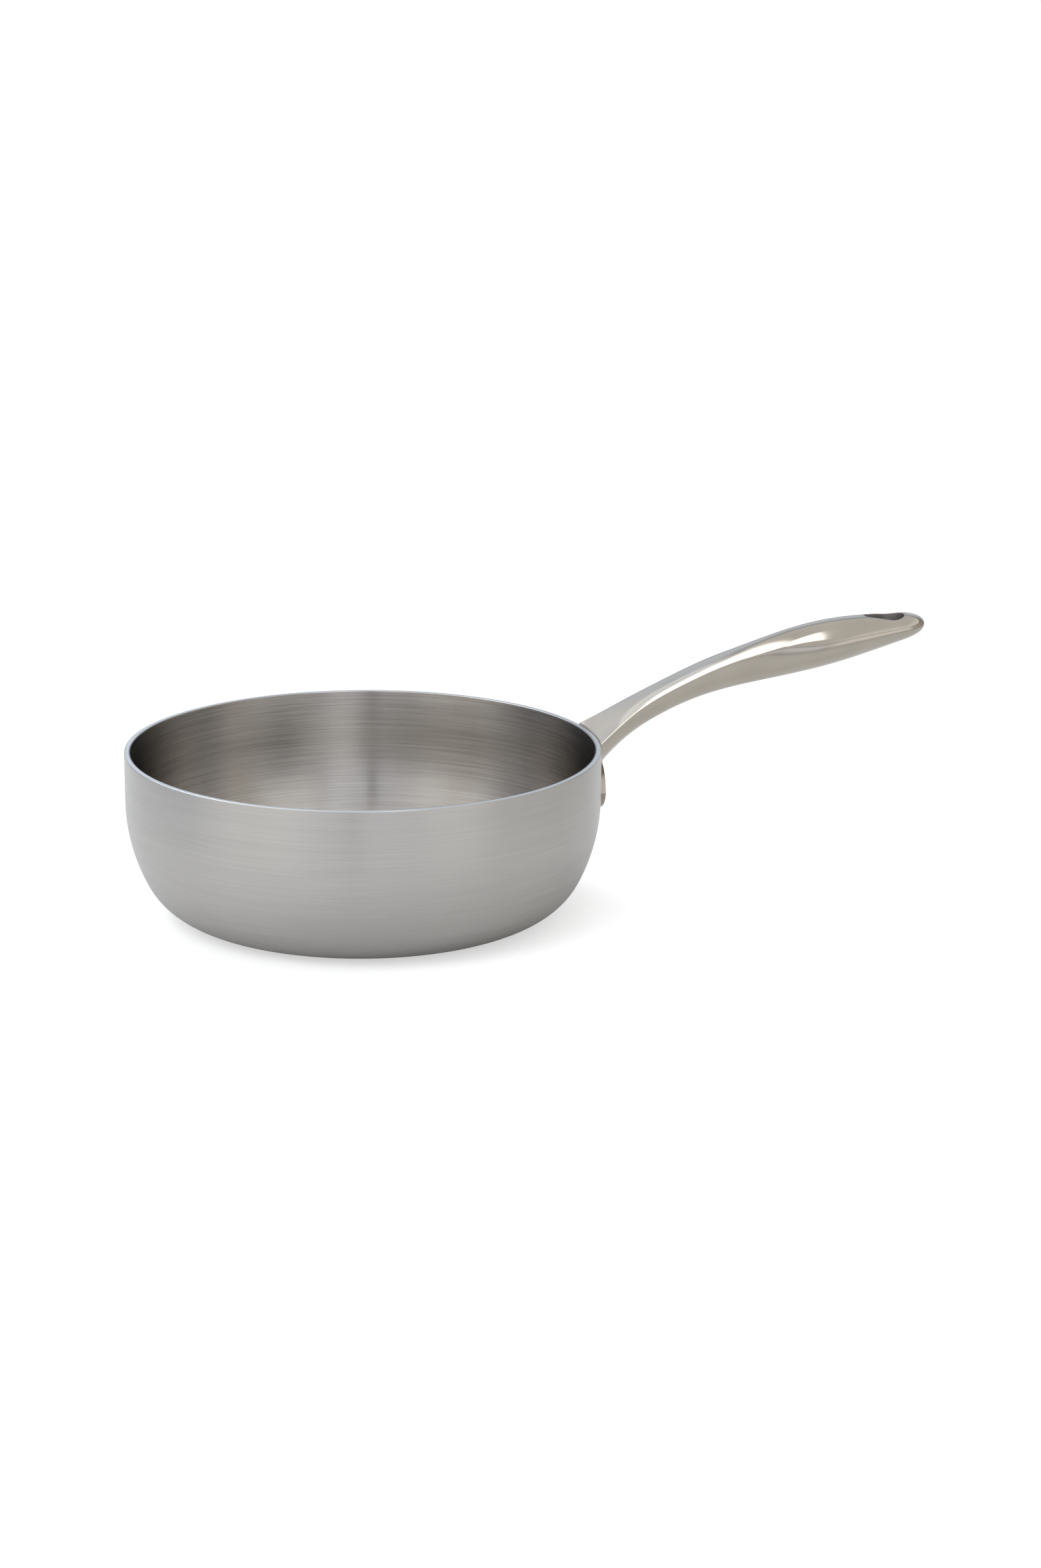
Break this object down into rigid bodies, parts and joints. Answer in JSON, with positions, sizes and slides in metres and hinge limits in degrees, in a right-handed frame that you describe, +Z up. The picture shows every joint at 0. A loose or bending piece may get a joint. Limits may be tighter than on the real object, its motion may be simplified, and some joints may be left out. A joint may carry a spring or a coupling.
{
  "type": "saucier pan",
  "caption": "Round saucier pan with a curved side, a flat base, a bonded layered wall and a long upswept hollow handle with a teardrop hanging hole.",
  "frame": {"origin": "centre of the flat base's underside, where the pan stands", "axes": "+Z up, out of the pan's mouth; +X from the pan's axis along the handle to its tip; the X-Z plane is the plane of symmetry"},
  "size_m": [0.3545, 0.205, 0.1198],
  "materials": {
    "cooking_steel": "fine satin, brushed round the pan's axis",
    "core_aluminium": "rolled, seen only as the middle band of the machined rim",
    "outer_steel": "satin, brushed round the pan's axis",
    "handle_steel": "fine satin, brushed along the handle, with softly polished edges",
    "sleeve_steel": "drawn tube, satin"
  },
  "bodies": {
    "root": {"inner_ply": "cooking_steel", "core_ply": "core_aluminium", "outer_ply": "outer_steel", "handle_bracket": "handle_steel", "handle_top_shell": "handle_steel", "handle_bottom_shell": "handle_steel", "hanging_hole_sleeve": "sleeve_steel"}
  },
  "joints": []
}
